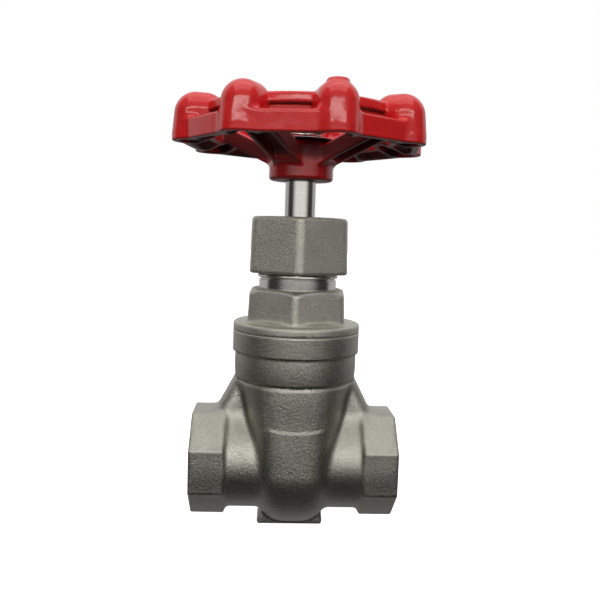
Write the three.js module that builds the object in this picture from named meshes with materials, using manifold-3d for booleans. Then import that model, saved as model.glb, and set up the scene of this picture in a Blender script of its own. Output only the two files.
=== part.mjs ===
// Half-inch gate valve: screwed bonnet, solid wedge, non-rising stem and a lobed handwheel.
// Millimetres. +X runs along the pipe, +Z up the stem, and the origin is under the middle of the foot.
// Heights (z) below are measured from the pipe's axis, which lies PIPE_HEIGHT above the origin.
import * as THREE from 'three';
import { mergeVertices } from 'three/addons/utils/BufferGeometryUtils.js';
import Module from 'manifold-3d';

const wasm = await Module();
wasm.setup();

const DEG = Math.PI / 180;
const PIPE_HEIGHT = 17.3;
const BIG_ROUND = 40;
const SMALL_ROUND = 24;
const RIM_ROUND = 48;

// Ends and ports
const HALF_LENGTH = 27.5;
const END_LENGTH = 9.1;
const END_APOTHEM = 13.8;
const END_CHAMFER = 0.45;
const NECK_RADIUS = 13.2;
const PORT_MOUTH_RADIUS = 10.9;
const PORT_RADIUS = 9.6;
const PORT_DEPTH = 13.2;
const PORT_TAPER = 0.3;
const PORT_MOUTH_DEPTH = 1.2;
const FLOW_RADIUS = 7.5;

// Body
const DRUM_RADIUS = 16.95;
const DRUM_HALF_WIDTH = 10.6;
const DRUM_POWER = 3.1;
const BULGE_TOP = 23.3;
const BULGE_TOP_HALF_WIDTH = 16.2;
const RING_RADIUS = 16.6;
const RIM_RADIUS = 17.2;
const RIM_BOTTOM = 30.6;
const SPLIT = 36.27;
const FOOT = { halfX: 8.8, halfY: 4.4, top: -12 };

// The gusset's outline beside the stem: where it leaves the end, its slope and where it meets the ring.
const WEB = { halfWidth: 6, foot: [20.6, 15], slopeFoot: [18.4, 18.8], slopeTop: [16.9, 22.6], inner: 10 };

// Wedge chamber
const SEAT_ANGLE = 5 * DEG;
const SEAT_HALF_GAP = 6.5;
const SEAT_RADIUS = 10.2;
const CHAMBER_HALF_GAP = 7.3;
const CHAMBER_RADIUS = 12.2;
const CHAMBER_TOP = 16;
const SEAT_POCKET_GAP = 0.5;
const GUIDE = { halfX: 1.5, inner: 8.7, outer: 13.5, bottom: -5, top: 25 };

// The round bore above the chamber opens out to the bonnet's thread and then to the gasket's recess.
const THROAT = [[9, 12], [12, 15.5], [12.6, 18], [12.6, 27.8]];
const BONNET_THREAD_RADIUS = 14;
const THREAD_GAP = 0.06;
const GASKET_RECESS = { radius: 16, bottom: 35.67 };

// Wedge
const WEDGE_RADIUS = 10;
const WEDGE_GAP = 0.15;
const WEDGE_NUT = { halfX: 6.6, halfY: 6.5, top: 16.5 };
const WEDGE_BORE = { radius: 4.3, bottom: -8 };
const WEDGE_SLOT_GAP = { side: 0.2, end: 0.3 };

// Bonnet
const FLANGE = { bottom: SPLIT + 0.05, top: 38.5, edge: 0.7, crown: 0.9, crownRadius: 14.2 };
const HEX_FLATS = 25;
const HEX_DRAFT = 0.35;
const HEX_CHAMFER = 30 * DEG;
const BONNET_HEX_TOP = 47.7;
const BONNET_HEX_TURN = -4 * DEG;
const NECK = { turnedRadius: 10.5, threadRadius: 10.9, threadStart: 50.4, top: 60.5, chamfer: 0.8 };
const SPIGOT = { bottom: 28.6, bore: 12, chamfer: 0.6 };
const COLLAR_RECESS = { radius: 9, bottom: 34.5, top: 42.1 };
const STUFFING_BOX = { radius: 7.4, bottom: 46 };

// Stem
const STEM_RADIUS = 4.1;
const STEM_THREAD_RADIUS = 4;
const STEM_BOTTOM = 10;
const STEM_BORE = 4.22;
const COLLAR = { radius: 7, bottom: 38.3, top: 41.3 };
const STEM_SHOULDER = 78;
const STEM_SQUARE = 5.7;
const STEM_END_RADIUS = 2.95;
const STEM_TOP = 93.9;
const STEM_CHAMFER = 0.5;

// Gland
const PACKING = { bottom: 47.05, ringHeight: 2.5, gap: 0.04, count: 4, radius: 7.3 };
const FOLLOWER = { flangeRadius: 9.4, flangeBottom: 61.8, top: 63.9 };
const GLAND_NUT = { bottom: 51.8, top: 66.7, ceiling: 63.95, bore: 11.02, hole: 4.6, chamfer: 0.6 };
const GLAND_NUT_TURN = -1 * DEG;

// Rings and washers on the stem's axis
const GASKET = { inner: 14.3, outer: 15.9, bottom: 35.7, top: 36.25 };
const RETAINING_RING = { outer: 8.95, bottom: 34.5, top: 37.5 };
const THRUST_WASHER = { outer: 8.6, lower: 37.53, upper: 41.34, thickness: 0.73 };
const PACKING_BASE = { bottom: 46.03, top: 47 };
const WHEEL_HARDWARE_BORE = 3.15;
const PLATE = { outer: 10.4, bottom: 86.55, top: 87.05 };
const SPRING_WASHER = { outer: 5.4, bottom: 87.1, top: 88.5, halfGap: 0.4 };
const WHEEL_NUT = { flats: 10, bore: 3.05, bottom: 88.55, top: 93.55 };

// Handwheel
const LOBES = 8;
const FIRST_LOBE = 13.3 * DEG;
const LOBE = { halfWidth: 5, inner: 25.8, outer: 29.2, bottom: 85, shoulder: 92.55, wall: 1.9, draft: 0.09 };
const DOME_STEPS = 3;
const SKIRT = { inner: 29.1, outer: 30.9, bottom: 85, top: 90.1, edge: 0.5 };
const RIDGE = { inner: 23.4, outer: 25.2, bottom: 86.6, beadRadius: 25, beadHeight: 93.7, beadSize: 1.35 };
const SPOKES = 4;
const FIRST_SPOKE = FIRST_LOBE + 45 * DEG;
const SPOKE = {
  halfWidth: 4.1, wall: 1.5, rootRadius: 7, rimRadius: 24.6, cutRadius: 29,
  slopeFrom: 9, low: 80.8, high: 85.6, slope: 0.45,
};
const HUB = { radius: 8.6, bottom: 76.45, top: 86.5, edge: 0.9, square: 5.9, counterbore: 78.2 };

const FINISH = {
  cast: { color: 0x8f8c84, roughness: 0.55, metalness: 0.9 },
  bright: { color: 0xc9c7c0, roughness: 0.2, metalness: 1 },
  turned: { color: 0xb4b1a9, roughness: 0.32, metalness: 1 },
  red: { color: 0xb01a1c, roughness: 0.2, metalness: 0 },
  plastic: { color: 0xeceae4, roughness: 0.6, metalness: 0 },
  plate: { color: 0xc4c6c8, roughness: 0.4, metalness: 1 },
};

// ---------- solids ----------

// Reverses every triangle of a geometry that has its faces pointing inwards.
function faceOutwards(positions, triangles) {
  const corner = [0, 1, 2].map(() => new THREE.Vector3());
  let volume = 0;
  for (let i = 0; i < triangles.length; i += 3) {
    corner.forEach((c, k) => c.fromArray(positions, 3 * triangles[i + k]));
    volume += corner[0].dot(corner[1].cross(corner[2]));
  }
  return volume < 0 ? triangles.slice().reverse() : triangles;
}

// A three.js geometry as a solid that can be joined and cut.
function solid(geometry) {
  const bare = geometry.clone();
  bare.deleteAttribute('normal');
  bare.deleteAttribute('uv');
  const merged = mergeVertices(bare, 1e-4);
  const index = Array.from(merged.index.array);
  const kept = [];
  for (let i = 0; i < index.length; i += 3) {
    const [a, b, c] = index.slice(i, i + 3);
    if (a !== b && b !== c && c !== a) kept.push(a, b, c);
  }
  const vertProperties = merged.attributes.position.array;
  const triVerts = new Uint32Array(faceOutwards(vertProperties, kept));
  return new wasm.Manifold(new wasm.Mesh({ numProp: 3, vertProperties, triVerts }));
}

function geometryOf(made) {
  const { vertProperties, triVerts } = made.getMesh();
  const geometry = new THREE.BufferGeometry();
  geometry.setAttribute('position', new THREE.BufferAttribute(vertProperties, 3));
  geometry.setIndex(new THREE.BufferAttribute(triVerts, 1));
  geometry.computeVertexNormals();
  return geometry;
}

const join = (...parts) => parts.reduce((whole, part) => whole.add(part));
const cut = (part, ...tools) => tools.reduce((left, tool) => left.subtract(tool), part);

// A turned shape about Z. The profile is a list of [radius, z] that starts and ends on the axis.
function turned(profile, segments = SMALL_ROUND) {
  const points = profile.map(([r, z]) => new THREE.Vector2(r, z));
  return solid(new THREE.LatheGeometry(points, segments).rotateX(Math.PI / 2));
}

// A plain rod about Z.
function rod(radius, bottom, top, segments = SMALL_ROUND) {
  return turned([[0, bottom], [radius, bottom], [radius, top], [0, top]], segments);
}

// A flat ring about Z.
function ring(inner, outer, bottom, top, segments = SMALL_ROUND) {
  return cut(rod(outer, bottom, top, segments), rod(inner, bottom - 1, top + 1, segments));
}

function alongX(part) {
  return part.rotate([0, 90, 0]);
}

function box(x0, x1, y0, y1, z0, z1) {
  const geometry = new THREE.BoxGeometry(x1 - x0, y1 - y0, z1 - z0);
  return solid(geometry.translate((x0 + x1) / 2, (y0 + y1) / 2, (z0 + z1) / 2));
}

// A prism about Z with a corner towards -Y, slightly wider at its bottom when it has draft.
function hexagon(flats, bottom, top, draft = 0) {
  const corner = flats / 2 / Math.cos(Math.PI / 6);
  const geometry = new THREE.CylinderGeometry(corner, corner + draft, top - bottom, 6);
  return solid(geometry.rotateX(Math.PI / 2).translate(0, 0, (top + bottom) / 2));
}

// An outline of [y, z] points pushed through X from -half to +half.
function slab(outline, half) {
  const shape = new THREE.Shape(outline.map(([y, z]) => new THREE.Vector2(y, z)));
  const geometry = new THREE.ExtrudeGeometry(shape, { depth: 2 * half, bevelEnabled: false });
  return solid(geometry.translate(0, 0, -half).rotateY(Math.PI / 2).rotateX(Math.PI / 2));
}

// An outline of [x, z] points pushed through Y from -half to +half.
function plank(outline, half) {
  const shape = new THREE.Shape(outline.map(([x, z]) => new THREE.Vector2(x, z)));
  const geometry = new THREE.ExtrudeGeometry(shape, { depth: 2 * half, bevelEnabled: false });
  return solid(geometry.translate(0, 0, -half).rotateX(Math.PI / 2));
}

// A skin over rings of points, closed at both ends. Every ring has the same number of points.
function loft(rings) {
  const count = rings[0].length;
  const ends = [rings[0], rings[rings.length - 1]].map((loop) =>
    loop.reduce((sum, p) => sum.add(p), new THREE.Vector3()).divideScalar(count));
  const triangles = [];
  const last = (rings.length - 1) * count;
  const middle = rings.length * count;
  for (let j = 0; j < count; j += 1) {
    const k = (j + 1) % count;
    for (let base = 0; base < last; base += count) {
      triangles.push(base + j, base + k, base + count + k);
      triangles.push(base + j, base + count + k, base + count + j);
    }
    triangles.push(middle, k, j);
    triangles.push(middle + 1, last + j, last + k);
  }
  const geometry = new THREE.BufferGeometry().setFromPoints([...rings.flat(), ...ends]);
  geometry.setIndex(triangles);
  return solid(geometry);
}

// A point on a rounded outline between an ellipse (power 2) and a rectangle (a high power).
function superellipse(angle, halfX, halfY, power) {
  const bend = (value) => Math.sign(value) * Math.abs(value) ** (2 / power);
  return [halfX * bend(Math.cos(angle)), halfY * bend(Math.sin(angle))];
}

// ---------- body ----------

// The lower half of the body is a drum about the pipe's axis with rounded edges.
function drum() {
  const profile = [];
  const steps = 12;
  for (let i = 0; i <= steps; i += 1) {
    const angle = Math.PI * (i / steps - 0.5);
    const [radius, x] = superellipse(angle, DRUM_RADIUS, DRUM_HALF_WIDTH, DRUM_POWER);
    profile.push([Math.max(radius, 0), x]);
  }
  return alongX(turned(profile, BIG_ROUND));
}

// Above the axis the body widens from the drum to the round neck.
function bulge() {
  const levels = 6;
  const rings = [];
  for (let i = 0; i <= levels; i += 1) {
    const up = i / levels;
    const halfX = THREE.MathUtils.lerp(DRUM_HALF_WIDTH, BULGE_TOP_HALF_WIDTH, up);
    const halfY = THREE.MathUtils.lerp(DRUM_RADIUS, BULGE_TOP_HALF_WIDTH, up);
    const power = THREE.MathUtils.lerp(DRUM_POWER, 2, up);
    const loop = [];
    for (let j = 0; j < BIG_ROUND; j += 1) {
      const [x, y] = superellipse(2 * Math.PI * j / BIG_ROUND, halfX, halfY, power);
      loop.push(new THREE.Vector3(x, y, up * BULGE_TOP));
    }
    rings.push(loop);
  }
  return loft(rings);
}

// One octagonal end, towards +X, with its outer edges broken.
function octagonEnd() {
  const corner = END_APOTHEM / Math.cos(Math.PI / 8);
  const length = END_LENGTH;
  const geometry = new THREE.CylinderGeometry(corner, corner, length, 8);
  geometry.rotateY(Math.PI / 8).rotateX(Math.PI / 2);
  const prism = alongX(solid(geometry)).translate([HALF_LENGTH - length / 2, 0, 0]);
  const wide = corner + 1;
  const start = HALF_LENGTH - length - 1;
  const bluntTo = END_APOTHEM + 0.15;
  const slope = wide - bluntTo;
  const envelope = turned([
    [0, start], [wide, start], [wide, HALF_LENGTH - END_CHAMFER * slope],
    [bluntTo, HALF_LENGTH], [0, HALF_LENGTH],
  ], BIG_ROUND);
  return prism.intersect(alongX(envelope));
}

// The port towards +X: the tapped socket, its mouth and the bore to the seat.
function portCut() {
  return alongX(turned([
    [0, 0], [FLOW_RADIUS, 0], [FLOW_RADIUS, HALF_LENGTH - PORT_DEPTH],
    [PORT_RADIUS - PORT_TAPER, HALF_LENGTH - PORT_DEPTH],
    [PORT_RADIUS, HALF_LENGTH - PORT_MOUTH_DEPTH], [PORT_MOUTH_RADIUS, HALF_LENGTH],
    [PORT_MOUTH_RADIUS, HALF_LENGTH + 1], [0, HALF_LENGTH + 1],
  ], SMALL_ROUND));
}

function mirrored(part) {
  return part.rotate([0, 0, 180]);
}

// The gusset from the neck down to the +X end.
function web() {
  const top = BULGE_TOP + 0.5;
  return plank([
    [WEB.inner, WEB.inner], [WEB.foot[0], WEB.inner], WEB.foot, WEB.slopeFoot, WEB.slopeTop,
    [WEB.slopeTop[0] - 2, top], [WEB.inner, top],
  ], WEB.halfWidth);
}

// The space between two planes that lean outwards by the seat angle, inside a [y, z] outline.
function wedgeSpace(outline, halfGap) {
  const spread = 40;
  const lean = spread * Math.tan(SEAT_ANGLE);
  const between = plank([
    [-halfGap + lean, -spread], [halfGap - lean, -spread],
    [halfGap + lean, spread], [-halfGap - lean, spread],
  ], spread);
  return slab(outline, spread).intersect(between);
}

function circleOutline(radius, segments = BIG_ROUND) {
  const turn = (i) => 2 * Math.PI * i / segments;
  return Array.from({ length: segments }, (_, i) =>
    [radius * Math.cos(turn(i)), radius * Math.sin(turn(i))]);
}

// A half circle below the axis that runs straight up to the given height.
function tubOutline(radius, top, segments = 24) {
  const bottom = Array.from({ length: segments + 1 }, (_, i) => {
    const angle = Math.PI * (1 + i / segments);
    return [radius * Math.cos(angle), radius * Math.sin(angle)];
  });
  return [...bottom, [radius, top], [-radius, top]];
}

function valveBody() {
  const threadRadius = BONNET_THREAD_RADIUS + THREAD_GAP;
  const halves = [octagonEnd(), web()];
  const outside = join(
    alongX(rod(NECK_RADIUS, -HALF_LENGTH + 2, HALF_LENGTH - 2, BIG_ROUND)),
    drum(), bulge(), ...halves, ...halves.map(mirrored),
    rod(RING_RADIUS, BULGE_TOP, RIM_BOTTOM, BIG_ROUND),
    rod(RIM_RADIUS, RIM_BOTTOM, SPLIT, BIG_ROUND),
    box(-FOOT.halfX, FOOT.halfX, -FOOT.halfY, FOOT.halfY, -PIPE_HEIGHT, FOOT.top),
  );
  const hollow = join(
    wedgeSpace(tubOutline(CHAMBER_RADIUS, CHAMBER_TOP), CHAMBER_HALF_GAP),
    turned([
      [0, THROAT[0][1] - 2], ...THROAT, [threadRadius, THROAT[THROAT.length - 1][1]],
      [threadRadius, GASKET_RECESS.bottom], [GASKET_RECESS.radius, GASKET_RECESS.bottom],
      [GASKET_RECESS.radius, SPLIT + 1], [0, SPLIT + 1],
    ], BIG_ROUND),
  );
  const seats = alongX(rod(SEAT_RADIUS, -CHAMBER_RADIUS, CHAMBER_RADIUS));
  const guide = box(-GUIDE.halfX, GUIDE.halfX, GUIDE.inner, GUIDE.outer, GUIDE.bottom, GUIDE.top);
  const guides = join(guide, mirrored(guide));
  const filled = join(cut(outside, hollow), seats, guides);
  const wedgeGap = wedgeSpace(circleOutline(SEAT_RADIUS + SEAT_POCKET_GAP), SEAT_HALF_GAP);
  return cut(filled, cut(wedgeGap, guides), portCut(), mirrored(portCut()));
}

// ---------- wedge ----------

function wedgeDisc() {
  const plate = wedgeSpace(circleOutline(WEDGE_RADIUS), SEAT_HALF_GAP - WEDGE_GAP);
  const { halfX, halfY, top } = WEDGE_NUT;
  const nut = box(-halfX, halfX, -halfY, halfY, 0, top);
  const slotHalf = GUIDE.halfX + WEDGE_SLOT_GAP.side;
  const slotInner = GUIDE.inner - WEDGE_SLOT_GAP.end;
  const slot = box(-slotHalf, slotHalf, slotInner, CHAMBER_RADIUS, -CHAMBER_RADIUS, top + 1);
  const bore = rod(WEDGE_BORE.radius, WEDGE_BORE.bottom, top + 1);
  return cut(join(plate, nut), slot, mirrored(slot), bore);
}

// ---------- bonnet and gland ----------

// Cuts the corners of a hexagon back to a cone at its top.
function chamferTop(part, flats, bottom, top) {
  const reach = flats / 2 / Math.cos(Math.PI / 6);
  const slope = Math.tan(HEX_CHAMFER);
  return part.intersect(turned([
    [0, bottom], [reach + 2, bottom], [reach + 2, top - (reach + 2 - flats / 2) * slope],
    [flats / 2 - 0.2, top + 0.1], [0, top + 0.1],
  ], BIG_ROUND));
}

function bonnet() {
  const hex = chamferTop(
    hexagon(HEX_FLATS, FLANGE.top - 1, BONNET_HEX_TOP, HEX_DRAFT),
    HEX_FLATS, FLANGE.bottom, BONNET_HEX_TOP,
  ).rotate([0, 0, BONNET_HEX_TURN / DEG]);
  const threadFoot = NECK.threadRadius - NECK.chamfer;
  const round = turned([
    [0, SPIGOT.bottom], [BONNET_THREAD_RADIUS - SPIGOT.chamfer, SPIGOT.bottom],
    [BONNET_THREAD_RADIUS, SPIGOT.bottom + SPIGOT.chamfer], [BONNET_THREAD_RADIUS, FLANGE.bottom],
    [RIM_RADIUS, FLANGE.bottom], [RIM_RADIUS, FLANGE.top - FLANGE.edge],
    [RIM_RADIUS - FLANGE.edge, FLANGE.top], [FLANGE.crownRadius, FLANGE.top + FLANGE.crown],
    [NECK.turnedRadius, FLANGE.top + FLANGE.crown], [NECK.turnedRadius, NECK.threadStart - 0.3],
    [threadFoot, NECK.threadStart], [NECK.threadRadius, NECK.threadStart + NECK.chamfer / 2],
    [NECK.threadRadius, NECK.top - NECK.chamfer], [threadFoot, NECK.top], [0, NECK.top],
  ], BIG_ROUND);
  const inside = turned([
    [0, SPIGOT.bottom - 1], [SPIGOT.bore, SPIGOT.bottom - 1], [SPIGOT.bore, COLLAR_RECESS.bottom],
    [COLLAR_RECESS.radius, COLLAR_RECESS.bottom], [COLLAR_RECESS.radius, COLLAR_RECESS.top],
    [STEM_BORE, COLLAR_RECESS.top], [STEM_BORE, STUFFING_BOX.bottom],
    [STUFFING_BOX.radius, STUFFING_BOX.bottom], [STUFFING_BOX.radius, NECK.top + 1], [0, NECK.top + 1],
  ]);
  return cut(join(hex, round), inside);
}

function glandNut() {
  const { bottom, top, ceiling, bore, hole, chamfer } = GLAND_NUT;
  const outside = chamferTop(hexagon(HEX_FLATS, bottom, top, HEX_DRAFT), HEX_FLATS, bottom - 1, top);
  const inside = turned([
    [0, bottom - 1], [bore + chamfer, bottom - 1], [bore + chamfer, bottom], [bore, bottom + chamfer],
    [bore, ceiling], [hole, ceiling], [hole, top + 1], [0, top + 1],
  ], BIG_ROUND);
  return cut(outside, inside).rotate([0, 0, GLAND_NUT_TURN / DEG]);
}

function glandFollower() {
  const { flangeRadius, flangeBottom, top } = FOLLOWER;
  const bottom = PACKING.bottom + PACKING.count * PACKING.ringHeight + 0.05;
  const outside = turned([
    [0, bottom], [PACKING.radius, bottom], [PACKING.radius, flangeBottom],
    [flangeRadius, flangeBottom], [flangeRadius, top], [0, top],
  ]);
  return cut(outside, rod(STEM_BORE, bottom - 1, top + 1));
}

// ---------- stem ----------

function stem() {
  const body = turned([
    [0, STEM_BOTTOM], [STEM_THREAD_RADIUS - STEM_CHAMFER, STEM_BOTTOM],
    [STEM_THREAD_RADIUS, STEM_BOTTOM + STEM_CHAMFER], [STEM_THREAD_RADIUS, COLLAR.bottom],
    [COLLAR.radius, COLLAR.bottom], [COLLAR.radius, COLLAR.top], [STEM_RADIUS, COLLAR.top],
    [STEM_RADIUS, STEM_SHOULDER], [0, STEM_SHOULDER],
  ]);
  const half = STEM_SQUARE / 2;
  const squareTop = HUB.top - 0.4;
  const square = box(-half, half, -half, half, STEM_SHOULDER - 1, squareTop);
  const end = turned([
    [0, squareTop - 1], [STEM_END_RADIUS, squareTop - 1], [STEM_END_RADIUS, STEM_TOP - STEM_CHAMFER],
    [STEM_END_RADIUS - STEM_CHAMFER, STEM_TOP], [0, STEM_TOP],
  ]);
  return join(body, square, end);
}

// ---------- handwheel ----------

// A round-ended outline that lies along the wheel's radius, at one height.
function lobeLoop(halfWidth, inner, outer, z) {
  const loop = [];
  const half = 6;
  for (let i = 0; i < 2 * half; i += 1) {
    const angle = -Math.PI / 2 + Math.PI * (i % half) / (half - 1);
    const side = i < half ? 1 : -1;
    const centre = i < half ? outer : inner;
    loop.push(new THREE.Vector3(
      side * halfWidth * Math.sin(angle),
      -(centre + side * halfWidth * Math.cos(angle)), z,
    ));
  }
  return loop;
}

// One lobe towards -Y, or its hollow, with a domed top and an outer end that leans in as it rises.
function lobe(halfWidth, bottom) {
  const { inner, outer, shoulder, draft } = LOBE;
  const endAt = (z) => outer - draft * (z - LOBE.bottom);
  const rings = [lobeLoop(halfWidth, inner, endAt(bottom), bottom)];
  for (let i = 0; i <= DOME_STEPS; i += 1) {
    const angle = 0.5 * Math.PI * i / (DOME_STEPS + 0.35);
    const z = shoulder + halfWidth * Math.sin(angle);
    rings.push(lobeLoop(halfWidth * Math.cos(angle), inner, endAt(z), z));
  }
  return loft(rings);
}

function around(part, count, first) {
  const copies = [];
  for (let i = 0; i < count; i += 1) copies.push(part.rotate([0, 0, first / DEG + 360 * i / count]));
  return join(...copies);
}

// A ring about Z whose [radius, z] outline goes round to its first point.
function hoop(outline) {
  const points = [...outline, outline[0]].map(([r, z]) => new THREE.Vector2(r, z));
  return solid(new THREE.LatheGeometry(points, RIM_ROUND).rotateX(Math.PI / 2));
}

// The low outer wall of the rim.
function skirt() {
  const { inner, outer, bottom, top, edge } = SKIRT;
  return hoop([[inner, bottom], [outer, bottom], [outer, top - edge], [outer - edge, top], [inner, top]]);
}

// The tall inner wall of the rim, with a round bead along its top. An open slot parts it from the skirt.
function ridge() {
  const { inner, outer, bottom, beadRadius, beadHeight, beadSize } = RIDGE;
  const from = Math.asin((outer - beadRadius) / beadSize) - Math.PI / 2;
  const to = Math.PI * 0.9;
  const steps = 6;
  const outline = [[inner, bottom], [outer, bottom]];
  for (let i = 0; i <= steps; i += 1) {
    const angle = THREE.MathUtils.lerp(from, to, i / steps);
    outline.push([beadRadius + beadSize * Math.cos(angle), beadHeight + beadSize * Math.sin(angle)]);
  }
  return hoop([...outline, [inner, beadHeight - beadSize]]);
}

// One spoke towards -Y, which rises from the hub to the rim. Inset cuts its hollow underside.
function spoke(halfWidth, from, to, inset) {
  const rise = (r) => SPOKE.slope * (r - SPOKE.slopeFrom);
  const low = (r) => SPOKE.low + rise(r) - (inset ? 1 : 0);
  const high = (r) => SPOKE.high + rise(r) - inset;
  const outline = [[-from, low(from)], [-to, low(to)], [-to, high(to)], [-from, high(from)]];
  return slab(outline, halfWidth);
}

function handwheel() {
  const hub = turned([
    [0, HUB.bottom], [HUB.radius - HUB.edge, HUB.bottom], [HUB.radius, HUB.bottom + HUB.edge],
    [HUB.radius, HUB.top - HUB.edge], [HUB.radius - HUB.edge, HUB.top], [0, HUB.top],
  ]);
  const spokeOut = around(
    spoke(SPOKE.halfWidth, SPOKE.rootRadius, SPOKE.rimRadius, 0), SPOKES, FIRST_SPOKE);
  const spokeIn = around(
    spoke(SPOKE.halfWidth - SPOKE.wall, HUB.radius, SPOKE.cutRadius, SPOKE.wall), SPOKES, FIRST_SPOKE);
  const lobesOut = around(lobe(LOBE.halfWidth, LOBE.bottom), LOBES, FIRST_LOBE);
  const lobesIn = around(lobe(LOBE.halfWidth - LOBE.wall, LOBE.bottom - 1), LOBES, FIRST_LOBE);
  const half = HUB.square / 2;
  return cut(
    join(skirt(), ridge(), lobesOut, spokeOut, hub),
    lobesIn, spokeIn,
    rod(STEM_BORE, HUB.bottom - 1, HUB.counterbore),
    box(-half, half, -half, half, HUB.counterbore - 0.5, HUB.top + 1),
  );
}

// A split washer with one straight gap.
function springWasher() {
  const { outer, bottom, top, halfGap } = SPRING_WASHER;
  const gap = box(0, outer + 1, -halfGap, halfGap, bottom - 1, top + 1);
  return cut(ring(WHEEL_HARDWARE_BORE, outer, bottom, top), gap);
}

function wheelNut() {
  const { flats, bore, bottom, top } = WHEEL_NUT;
  const outside = chamferTop(hexagon(flats, bottom, top), flats, bottom - 1, top);
  return cut(outside, rod(bore, bottom - 1, top + 1));
}

// ---------- assembly ----------

function piece(name, made, finish) {
  const mesh = new THREE.Mesh(geometryOf(made), new THREE.MeshStandardMaterial(FINISH[finish]));
  mesh.name = name;
  return mesh;
}

// A flat ring that fits round the stem.
function stemRing(outer, { bottom, top }) {
  return ring(STEM_BORE, outer, bottom, top);
}

function thrustWasher(bottom) {
  return stemRing(THRUST_WASHER.outer, { bottom, top: bottom + THRUST_WASHER.thickness });
}

function groupOf(...meshes) {
  const group = new THREE.Group();
  group.add(...meshes);
  return group;
}

const fixed = groupOf(
  piece('valve_body', valveBody(), 'cast'),
  piece('bonnet', bonnet(), 'cast'),
  piece('bonnet_gasket', ring(GASKET.inner, GASKET.outer, GASKET.bottom, GASKET.top, BIG_ROUND), 'plastic'),
  piece('stem_retaining_ring', stemRing(RETAINING_RING.outer, RETAINING_RING), 'turned'),
  piece('lower_thrust_washer', thrustWasher(THRUST_WASHER.lower), 'plastic'),
  piece('upper_thrust_washer', thrustWasher(THRUST_WASHER.upper), 'plastic'),
  piece('packing_base_washer', stemRing(PACKING.radius, PACKING_BASE), 'turned'),
);

const packing = new THREE.Group();
for (let i = 0; i < PACKING.count; i += 1) {
  const bottom = PACKING.bottom + i * PACKING.ringHeight;
  const top = bottom + PACKING.ringHeight - PACKING.gap;
  packing.add(piece(`packing_ring_${i + 1}`, stemRing(PACKING.radius, { bottom, top }), 'plastic'));
}

const gland = groupOf(
  piece('gland_follower', glandFollower(), 'turned'),
  piece('gland_nut', glandNut(), 'cast'),
);

const spindle = groupOf(
  piece('stem', stem(), 'bright'),
  piece('handwheel', handwheel(), 'red'),
  piece('wheel_plate', ring(WHEEL_HARDWARE_BORE, PLATE.outer, PLATE.bottom, PLATE.top), 'plate'),
  piece('spring_washer', springWasher(), 'bright'),
  piece('wheel_nut', wheelNut(), 'bright'),
);

const valve = new THREE.Group();
valve.position.z = PIPE_HEIGHT;
valve.add(fixed, packing, gland, spindle, piece('wedge_disc', wedgeDisc(), 'cast'));

const gateValve = new THREE.Group();
gateValve.add(valve);
export default gateValve;
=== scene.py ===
"""Looks for a half-inch stainless gate valve with a red handwheel.

Shapes are worked out in millimetres, with z measured from the pipe's axis.
They become metres in the frame's own place as their meshes are made.
"""

import math

import bpy
import numpy as np
from mathutils import Matrix, Vector

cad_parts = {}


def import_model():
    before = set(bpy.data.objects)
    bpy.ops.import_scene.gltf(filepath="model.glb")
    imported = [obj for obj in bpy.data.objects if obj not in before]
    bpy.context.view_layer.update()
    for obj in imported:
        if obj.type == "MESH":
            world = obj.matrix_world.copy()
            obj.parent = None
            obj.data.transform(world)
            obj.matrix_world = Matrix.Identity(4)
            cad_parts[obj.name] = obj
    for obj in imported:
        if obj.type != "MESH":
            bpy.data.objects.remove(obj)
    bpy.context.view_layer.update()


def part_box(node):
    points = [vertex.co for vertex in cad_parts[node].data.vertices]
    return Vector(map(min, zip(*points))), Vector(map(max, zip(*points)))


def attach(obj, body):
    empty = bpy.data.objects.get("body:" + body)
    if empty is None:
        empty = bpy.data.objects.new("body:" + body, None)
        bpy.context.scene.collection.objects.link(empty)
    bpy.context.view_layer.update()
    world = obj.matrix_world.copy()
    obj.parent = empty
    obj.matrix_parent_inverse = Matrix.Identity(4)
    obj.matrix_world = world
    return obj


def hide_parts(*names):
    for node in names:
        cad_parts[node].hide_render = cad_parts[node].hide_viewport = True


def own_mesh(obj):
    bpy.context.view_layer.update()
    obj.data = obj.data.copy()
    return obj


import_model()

MM = 0.001
# Height of the joint between body and bonnet above the pipe's axis.
SPLIT = 36.27
# Height of the pipe's axis above the foot.
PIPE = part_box("valve_body")[1].z / MM - SPLIT
COARSE = 1.0


def span(node):
    """Lowest and highest corner of a CAD node in millimetres, with z from the pipe's axis."""
    low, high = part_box(node)
    shift = np.array([0, 0, PIPE])
    return np.array(low) / MM - shift, np.array(high) / MM - shift


BODY_LOW, BODY_HIGH = span("valve_body")
BONNET_LOW, BONNET_HIGH = span("bonnet")
NUT_LOW, NUT_HIGH = span("gland_nut")
WHEEL_LOW, WHEEL_HIGH = span("handwheel")
STEM_LOW, STEM_HIGH = span("stem")
PLATE_LOW, PLATE_HIGH = span("wheel_plate")

# ---------------------------------------------------------------- meshes

# Angle in degrees past which an edge of a turned piece is shaded sharp.
TURNED_EDGE = 35
# A meshed field's gradient is taken over this share of a cell.
GRADIENT_SHARE = 0.05
# A cell's point is held near the middle of its crossings by this weight, and moves by this share at most.
MIDDLE_WEIGHT = 0.05
MOST_SHIFT = 0.6
# A rounded corner takes at most this share of each side, with a support point this share of itself away.
MOST_BEVEL = 0.45
BEVEL_SUPPORT = 0.1
# Length in millimetres of the support rows at the ends of a turned face.
SUPPORT = 0.08
# A thread's crest and root are flattened by this share of its height.
THREAD_FLAT = 0.125
# Length in millimetres over which a thread on a rod rises from nothing.
THREAD_FADE = 0.4


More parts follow.
